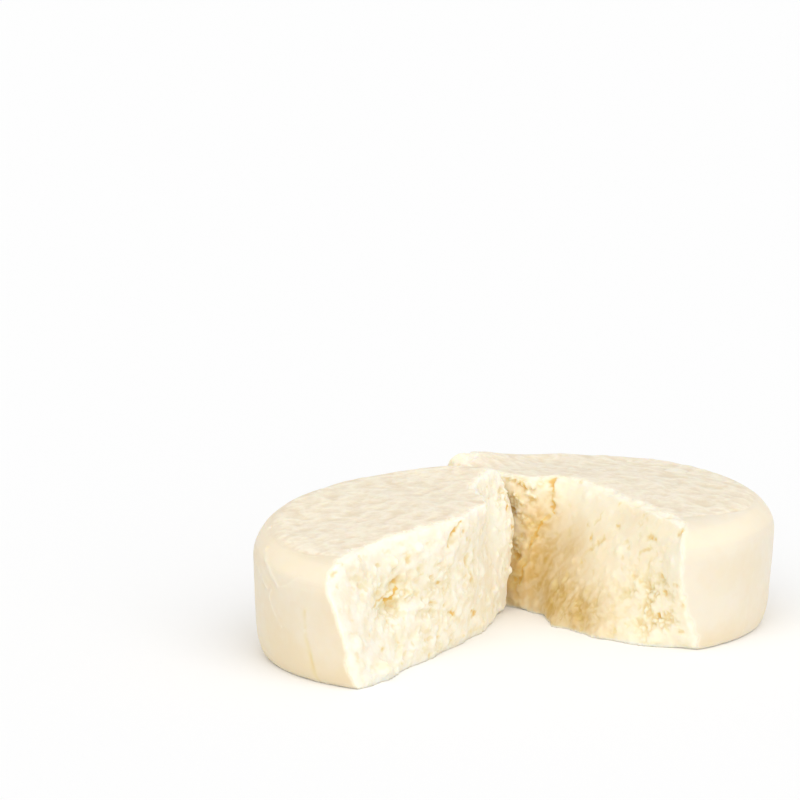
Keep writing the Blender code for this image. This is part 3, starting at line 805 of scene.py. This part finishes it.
def leatherOn(nearest, facing, along, out, around, half):
    # Leathery wrinkles as far as the top's rim, which is crisp in front and fades behind
    rim = np.interp(around, *zip(*half["rim"]))
    rim += noiseAt(nearest, 6 * mm, 4.0) * rindLook["rimWave"]
    upward = smoothStep(0.5, 0.8, facing[:, 2])
    inside = rim - np.hypot(along, out)
    behind = smoothStep(-150.0, -125.0, around)
    leather = smoothStep(-0.15, 1.0, inside / (0.35 + 2.2 * behind)) * upward
    turn = math.radians(half["leatherTurn"])
    driftSize, driftFar = rindLook["leatherDrift"]
    drift = np.stack([noiseAt(nearest, driftSize, shift) for shift in (6.0, 26.0)], axis=1) * driftFar
    across = nearest[:, 0] * math.cos(turn) + nearest[:, 1] * math.sin(turn) + drift[:, 0]
    down = nearest[:, 1] * math.cos(turn) - nearest[:, 0] * math.sin(turn) + drift[:, 1]
    flat = np.stack([across / rindLook["leatherStretch"], down, np.zeros(len(nearest))], axis=1)
    fold = np.zeros(len(nearest))
    for size, deep, ridged in rindLook["leather"]:
        wave = noiseAt(flat, size, half["seed"] + size / mm)
        fold += deep * (ridged * (0.5 - 2.0 * np.abs(wave)) + (1.0 - ridged) * 1.3 * wave)
    inset, width, deep = rindLook["gutter"]
    patchy = np.clip(noiseAt(nearest, 12 * mm, 10.0) + 0.5, 0.0, 1.0) * (1.0 - behind)
    gutter = np.exp(-((inside - inset) / width) ** 2) * upward * patchy * deep
    return leather, fold, gutter, upward


def wallRelief(nearest, facing, angle, height, half):
    # Creases, ridges, a step and a brown crack on the wall
    move = np.zeros(len(nearest))
    stainAndShade = np.zeros(len(nearest))
    perDegree = math.radians(1.0) * wheel["radius"] / mm
    warpAngle = angle * perDegree + 0.35 * noiseAt(nearest, 3 * mm, 11.0)
    warpHeight = height + 0.35 * noiseAt(nearest, 3 * mm, 12.0)
    patchy = 0.75 + 0.6 * noiseAt(nearest, 2.0 * mm, 13.0)
    wall = 1.0 - smoothStep(0.8, 0.93, np.abs(facing[:, 2]))
    for line, width, deep, brown in half["wallMarks"] + faintCreases(half):
        drawn = [(turn * perDegree, up) for turn, up in line]
        away = lineDistance(warpAngle, warpHeight, drawn) / width
        mark = np.exp(-away ** 2) * wall * np.clip(patchy, 0.3, 1.2)
        move -= mark * deep
        stainAndShade = np.maximum(stainAndShade, mark * brown)
    for line, width, deep in half["wallSteps"]:
        drawn = [(turn * perDegree, up) for turn, up in line]
        away = lineDistance(warpAngle, warpHeight, drawn)
        level = np.interp(-warpAngle, *zip(*((-turn, up) for turn, up in drawn)))
        over = np.where(warpHeight > level, away, -away)
        move -= smoothStep(-0.5, 0.5, over) * np.exp(-(np.maximum(over, 0.0) / width) ** 2) * wall * deep
    return move, stainAndShade


def detailRind(piece, half, depth, nearest, facing):
    # The rind goes back to the wheel's smooth surface and gets its own relief
    places = readPlaces(piece)
    along, out, height = onHalf(places, half)
    rind = 1.0 - smoothStep(rindLook["skin"] * 0.7, rindLook["skin"] * 1.5, depth)
    angle = np.degrees(np.arctan2(out, along))
    around = np.where(angle > 90.0, angle - 360.0, angle)
    leather, fold, gutter, upward = leatherOn(nearest, facing, along, out, around, half)
    move = sum(noiseAt(nearest, rindLook[kind][0], seed) * rindLook[kind][1]
               for kind, seed in (("swell", 1.0), ("ripple", 2.0)))
    move += (leather * fold - gutter) * mm

    # Flakes lie on the top like scales
    pale = np.zeros(len(places))
    for flakeAlong, flakeOut, reachAlong, reachOut in half["flakes"]:
        warp = 0.3 * noiseAt(nearest, 2.2 * mm, flakeAlong)
        away = np.hypot((along - flakeAlong) / reachAlong, (out - flakeOut) / reachOut) + warp
        flake = (1.0 - smoothStep(0.75, 0.95, away)) * upward
        move = move * (1.0 - 0.6 * flake) + flake * rindLook["flakeHeight"] * mm
        pale = np.maximum(pale, flake)

    relief, stainAndShade = wallRelief(nearest, facing, angle, height, half)
    target = nearest + facing * (move + relief * mm)[:, None]
    writePlaces(piece, places + (target - places) * rind[:, None])
    return leather * rind, pale * rind, stainAndShade * rind, fold


def nameValues(piece, table):
    # Each row becomes an attribute that the material reads
    for name, values in table.items():
        layer = piece.data.attributes.new(name, "FLOAT", "POINT")
        layer.data.foreach_set("value", values.astype(np.float32))


def spread(along, height, spots):
    # The strongest of several soft patches at each place
    level = np.zeros(len(along))
    for spot in spots:
        level = np.maximum(level, hill(along, height, spot))
    return level


def paint(piece, half, depth, facing, leather, pale, stainAndShade, fold):
    # What the material needs to know at each point
    places = readPlaces(piece)
    normals = readNormals(piece)
    links = readLinks(piece)
    near = relaxed(places, links, 0.6, 8)
    wide = relaxed(near, links, 0.6, 60)
    along, out, height = onHalf(places, half)
    curd = smoothStep(0.2, 0.5, depth / mm)

    # Slanting streaks of the golden curd
    bend = 1.2 * noiseAt(places, 4.0 * mm, 27.0)
    slant = np.stack([(along + 0.9 * height) / 2.0 + bend, (height - 0.9 * along) / 5.0, out / 3.0], axis=1)

    # The pale band where the break meets the wall
    inward = depth / mm + 0.35 * noiseAt(places, 1.4 * mm, 17.0)
    band = np.interp(height, *zip(*half["edgeBand"]))
    band *= 1.0 - smoothStep(0.4 * half["edgeWidth"], 1.3 * half["edgeWidth"], inward)
    ragged = 0.75 + 0.5 * noiseAt(places, 3.0 * mm, 15.0)

    # The far wall's triangles are too large to show fine hollows
    coarse = smoothStep(-36.0, -28.0, along) * smoothStep(3.0, 6.0, -out)
    coarse *= 1.0 - smoothStep(0.65, 0.85, facing[:, 2])
    # painted highlight on the shoulder, where the surface tilts up towards the light
    shoulderHighlight = smoothStep(0.2, 0.55, facing[:, 2]) * (1.0 - smoothStep(0.75, 0.95, facing[:, 2]))
    brown = pitsAndCracks(places, half)[1] * curd * (out > -curdLook["deepest"])
    nameValues(piece, {
        "depth": np.clip(depth / mm, 0.0, 6.0),
        # how hollow each point is, which the material turns into painted shade
        "fineHollow": np.sum((near - places) * normals, axis=1) / mm * (1.0 - coarse),
        "broadHollow": np.sum((wide - places) * normals, axis=1) / mm,
        "edge": np.clip(band * ragged, 0.0, 1.0),
        "leather": leather,
        "pale": pale,
        # real stains of pits and cracks, with painted shade in the crevices
        "stainAndShade": np.maximum(stainAndShade, brown),
        # painted warm shade
        "warmShade": spread(along, height, half["warmShadeAreas"]) * curd,
        # pale curd and painted light
        "light": spread(along, height, half["paleAndLitAreas"]) * curd,
        "streak": 0.5 + 0.5 * noiseAt(slant, 1.0, half["seed"] + 0.3),
        # painted shade: the wall is painted darker towards its foot and set by each half's painted wall
        # light
        "toneAndShade": half["paintedWallLight"] - 0.5 * (1.0 - smoothStep(1.0, 11.0, height)),
        # wrinkle height, which the material turns into painted shade in troughs and painted highlight on
        # crests
        "fold": fold,
        "gold": np.full(len(places), half["gold"]),
        # painted shade patches
        "shadedPatches": spread(along, height, half["shadedPatches"]) * curd,
        "amber": smoothStep(*half["amber"], along),
        "shoulderHighlight": shoulderHighlight,
    })


def makeHalf(half, otherHalf, material):
    guide = wheelGuide(half)
    otherMesh = nodeMesh(otherHalf["node"])
    other = BVHTree.FromBMesh(otherMesh)
    otherMesh.free()
    base = newPiece(half["name"] + "Base", nodeMesh(half["node"]))
    fuse(base, curdLook["firstVoxel"])
    mesh = flattenedCurd(base, half, guide)
    addLumps(mesh, half, guide, other)
    piece = newPiece(half["name"], mesh)
    fuse(piece, half["voxel"])
    carve(piece, half, guide)
    fuse(piece, half["voxel"])
    thinPlainRind(piece, half)

    # Calm parts of the curd are smoothed before the finest relief goes on
    places = readPlaces(piece)
    depth, nearest, facing = underRind(places, guide)
    soft = relaxed(places, readLinks(piece), 0.5, curdLook["relaxRounds"])
    along, out, height = onHalf(places, half)
    calm = np.clip(1.1 - 0.8 * roughnessAt(along, height, half), 0.1, 1.0)
    writePlaces(piece, places + (soft - places) * (calm * smoothStep(0.1, 0.5, depth / mm))[:, None])
    crevices = detailCurd(piece, half, depth)
    leather, pale, stainAndShade, fold = detailRind(piece, half, depth, nearest, facing)
    paint(piece, half, depth, facing, leather, pale, np.maximum(stainAndShade, crevices), fold)

    piece.data.shade_smooth()
    piece.data.materials.clear()
    piece.data.materials.append(material)
    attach(piece, "root")
    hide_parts(half["node"])
    print(half["name"], "points:", len(piece.data.vertices))


# Colours of the cheese, linear
cheeseColours = {
    "wallWarm": (0.82, 0.695, 0.485),
    "wallPale": (0.85, 0.77, 0.625),
    # colour of the painted highlight on the shoulder
    "shoulder": (0.95, 0.835, 0.64),
    # the top's colour as shaded and lit copies: painted shade in troughs and hollows, painted highlight on
    # crests
    "topShaded": (0.81, 0.69, 0.51),
    "topLit": (0.94, 0.86, 0.70),
    "flake": (0.97, 0.90, 0.76),
    "curdWarm": (0.87, 0.78, 0.60),
    "curdPale": (0.91, 0.86, 0.735),
    "gold": (0.97, 0.845, 0.605),
    # colour of pale curd and of painted light
    "light": (0.985, 0.935, 0.81),
    "edge": (0.96, 0.92, 0.79),
    # colour of the painted shade in the curd's hollows
    "hollowShade": (0.84, 0.76, 0.53),
    # stain colours, also used for the painted shade in crevices
    "olive": (0.79, 0.655, 0.31),
    "orange": (0.78, 0.50, 0.125),
    # colours of the painted warm shade, brown and orange
    "warmShade": (0.555, 0.35, 0.08),
    "amber": (0.72, 0.445, 0.092),
}


def fill(node, table):
    for name, value in table.items():
        node.inputs[name].default_value = value


def cheeseMaterial():
    material = bpy.data.materials.new("agedCurdAndRind")
    material.use_nodes = True
    nodes = material.node_tree.nodes
    links = material.node_tree.links
    shader = nodes["Principled BSDF"]

    def put(kind, **settings):
        node = nodes.new(kind)
        for name, value in settings.items():
            setattr(node, name, value)
        return node

    def join(source, target):
        links.new(source, target)

    def named(name):
        return put("ShaderNodeAttribute", attribute_name=name).outputs["Fac"]

    def ramp(value, low, high, toLow=0.0, toHigh=1.0, kind="SMOOTHSTEP"):
        node = put("ShaderNodeMapRange", interpolation_type=kind)
        join(value, node.inputs["Value"])
        fill(node, {"From Min": low, "From Max": high, "To Min": toLow, "To Max": toHigh})
        return node.outputs["Result"]

    def grain(size, detail):
        node = put("ShaderNodeTexNoise")
        join(coordinates, node.inputs["Vector"])
        fill(node, {"Scale": 1.0 / size, "Detail": detail})
        return node.outputs["Fac"]

    def sums(kind, first, second):
        node = put("ShaderNodeMath", operation=kind)
        for socket, value in zip(node.inputs, (first, second)):
            if isinstance(value, float):
                socket.default_value = value
            else:
                join(value, socket)
        return node.outputs["Value"]

    def mix(share, first, second):
        node = put("ShaderNodeMix", data_type="RGBA")
        join(share, node.inputs["Factor"])
        for name, value in (("A_Color", first), ("B_Color", second)):
            socket = next(item for item in node.inputs if item.identifier == name)
            if isinstance(value, str):
                socket.default_value = (*cheeseColours[value], 1.0)
            else:
                join(value, socket)
        return next(item for item in node.outputs if item.identifier == "Result_Color")

    coordinates = put("ShaderNodeTexCoord").outputs["Object"]
    cloud = grain(16 * mm, 3.0)
    patch = grain(3.5 * mm, 3.0)
    speck = grain(1.1 * mm, 2.0)
    depth = named("depth")
    fine = named("fineHollow")
    broad = named("broadHollow")

    # Wall colour: painted shade, darker at the foot and on the half turned from the light, with random
    # cloudy tone on top
    toneAndShade = sums("ADD", named("toneAndShade"), ramp(cloud, 0.3, 0.7, -0.3, 0.3))
    toneAndShade = sums("ADD", toneAndShade, ramp(patch, 0.3, 0.7, -0.1, 0.1))
    wall = mix(ramp(toneAndShade, 0.0, 1.0, kind="LINEAR"), "wallWarm", "wallPale")
    # painted highlight: the upward-tilted shoulder is painted paler
    wall = mix(ramp(named("shoulderHighlight"), 0.0, 1.0, 0.0, 0.55), wall, "shoulder")
    # painted shade in the wrinkles' troughs and painted highlight on their crests, with a random speck
    foldShading = sums("ADD", named("fold"), ramp(speck, 0.3, 0.7, -0.06, 0.06))
    top = mix(ramp(foldShading, -0.25, 0.25), "topShaded", "topLit")
    rind = mix(named("leather"), wall, top)
    # painted shade in the rind's hollows and painted highlight on its bumps
    rind = mix(ramp(fine, 0.0, 0.1, 0.0, 0.6), rind, "topShaded")
    rind = mix(ramp(fine, -0.1, 0.0, 0.6, 0.0), rind, "topLit")
    rind = mix(ramp(named("pale"), 0.0, 1.0, 0.0, 0.5), rind, "flake")

    curd = mix(ramp(patch, 0.35, 0.65), "curdWarm", "curdPale")
    gilt = ramp(sums("ADD", patch, ramp(named("streak"), 0.2, 0.8, -0.15, 0.15)), 0.3, 0.7, 0.5, 1.0)
    curd = mix(sums("MULTIPLY", named("gold"), gilt), curd, "gold")
    # pale curd and painted light
    curd = mix(sums("MULTIPLY", named("light"), 0.8), curd, "light")
    # painted shade in the curd's fine and broad hollows and in the painted shade patches
    deep = sums("ADD", ramp(fine, 0.05, 0.3, 0.0, 0.48), ramp(broad, 0.4, 1.6, 0.0, 0.5))
    deep = sums("ADD", deep, sums("MULTIPLY", named("shadedPatches"), ramp(patch, 0.3, 0.7, 0.3, 1.0)))
    curd = mix(ramp(deep, 0.0, 1.0), curd, "hollowShade")
    curd = mix(ramp(named("edge"), 0.0, 1.0, 0.0, 0.85), curd, "edge")
    # painted warm shade, mottled by patches and streaks and stronger in fine hollows
    mottled = sums("ADD", patch, ramp(fine, -0.1, 0.2, -0.2, 0.35))
    mottled = sums("ADD", mottled, ramp(named("streak"), 0.2, 0.8, -0.18, 0.18))
    mottled = ramp(mottled, 0.2, 0.75, 0.72, 1.0)
    warmShade = mix(named("amber"), "warmShade", "amber")
    curd = mix(sums("MULTIPLY", named("warmShade"), mottled), curd, warmShade)

    broken = ramp(sums("ADD", depth, ramp(speck, 0.0, 1.0, -0.08, 0.08)), 0.16, 0.34)
    skin = mix(broken, rind, curd)
    # real stains of pits and cracks, and painted shade in crevices, olive to orange
    stainAndShadeLevel = named("stainAndShade")
    brown = mix(ramp(stainAndShadeLevel, 0.45, 1.0), "olive", "orange")
    skin = mix(sums("MULTIPLY", stainAndShadeLevel, 0.9), skin, brown)
    join(skin, shader.inputs["Base Color"])

    satin = ramp(speck, 0.2, 0.8, 0.42, 0.58)
    matt = ramp(speck, 0.2, 0.8, 0.62, 0.8)
    finish = put("ShaderNodeMix", data_type="FLOAT")
    join(broken, finish.inputs["Factor"])
    join(satin, finish.inputs["A"])
    join(matt, finish.inputs["B"])
    join(finish.outputs["Result"], shader.inputs["Roughness"])

    pores = put("ShaderNodeBump")
    fill(pores, {"Distance": 0.12 * mm})
    join(grain(0.7 * mm, 3.0), pores.inputs["Height"])
    join(ramp(broken, 0.0, 1.0, 0.3, 0.5), pores.inputs["Strength"])
    join(pores.outputs["Normal"], shader.inputs["Normal"])

    fill(shader, {
        "Subsurface Weight": 0.5,
        "Subsurface Radius": (1.0, 0.75, 0.45),
        "Subsurface Scale": 3 * mm,
        "IOR": 1.45,
        "Specular IOR Level": 0.35,
    })
    return material


studio = {
    "worldStrength": 0.66,
    "sunStrength": 1.6,
    "sunAngle": 90.0,
    "sunFrom": (0.10, -0.70, 0.71),
    "floorSize": 30.0,
    "floorColour": (0.97, 0.97, 0.97),
}


def buildStudio():
    world = bpy.data.worlds.new("softStudio")
    world.use_nodes = True
    sky = {"Color": (1.0, 1.0, 1.0, 1.0), "Strength": studio["worldStrength"]}
    fill(world.node_tree.nodes["Background"], sky)
    bpy.context.scene.world = world

    light = bpy.data.lights.new("softKey", "SUN")
    light.energy = studio["sunStrength"]
    light.angle = math.radians(studio["sunAngle"])
    key = bpy.data.objects.new("softKey", light)
    key.rotation_euler = Vector(studio["sunFrom"]).to_track_quat("Z", "Y").to_euler()
    bpy.context.collection.objects.link(key)

    mesh = bmesh.new()
    bmesh.ops.create_grid(mesh, x_segments=1, y_segments=1, size=studio["floorSize"] / 2)
    floor = newPiece("floor", mesh)
    pale = bpy.data.materials.new("paleFloor")
    pale.use_nodes = True
    matt = {"Base Color": (*studio["floorColour"], 1.0), "Roughness": 0.9, "Specular IOR Level": 0.0}
    fill(pale.node_tree.nodes["Principled BSDF"], matt)
    floor.data.materials.append(pale)


shot = {
    "place": (-1.2637 * mm, -775.4102 * mm, 194.3577 * mm),
    "down": 9.71637,
    "turn": 2.22484,
    "lens": 135.3,
}


def addCamera():
    lens = bpy.data.cameras.new("camera")
    lens.lens = shot["lens"]
    lens.sensor_width = 36.0
    lens.clip_end = 100.0
    camera = bpy.data.objects.new("camera", lens)
    camera.location = shot["place"]
    camera.rotation_euler = (math.radians(90.0 - shot["down"]), 0.0, math.radians(shot["turn"]))
    bpy.context.collection.objects.link(camera)
    bpy.context.scene.camera = camera


addCamera()
buildStudio()
bpy.context.scene.view_settings.view_transform = "Standard"
print("camera and studio ready")

cheese = cheeseMaterial()
makeHalf(leftHalf, rightHalf, cheese)
makeHalf(rightHalf, leftHalf, cheese)
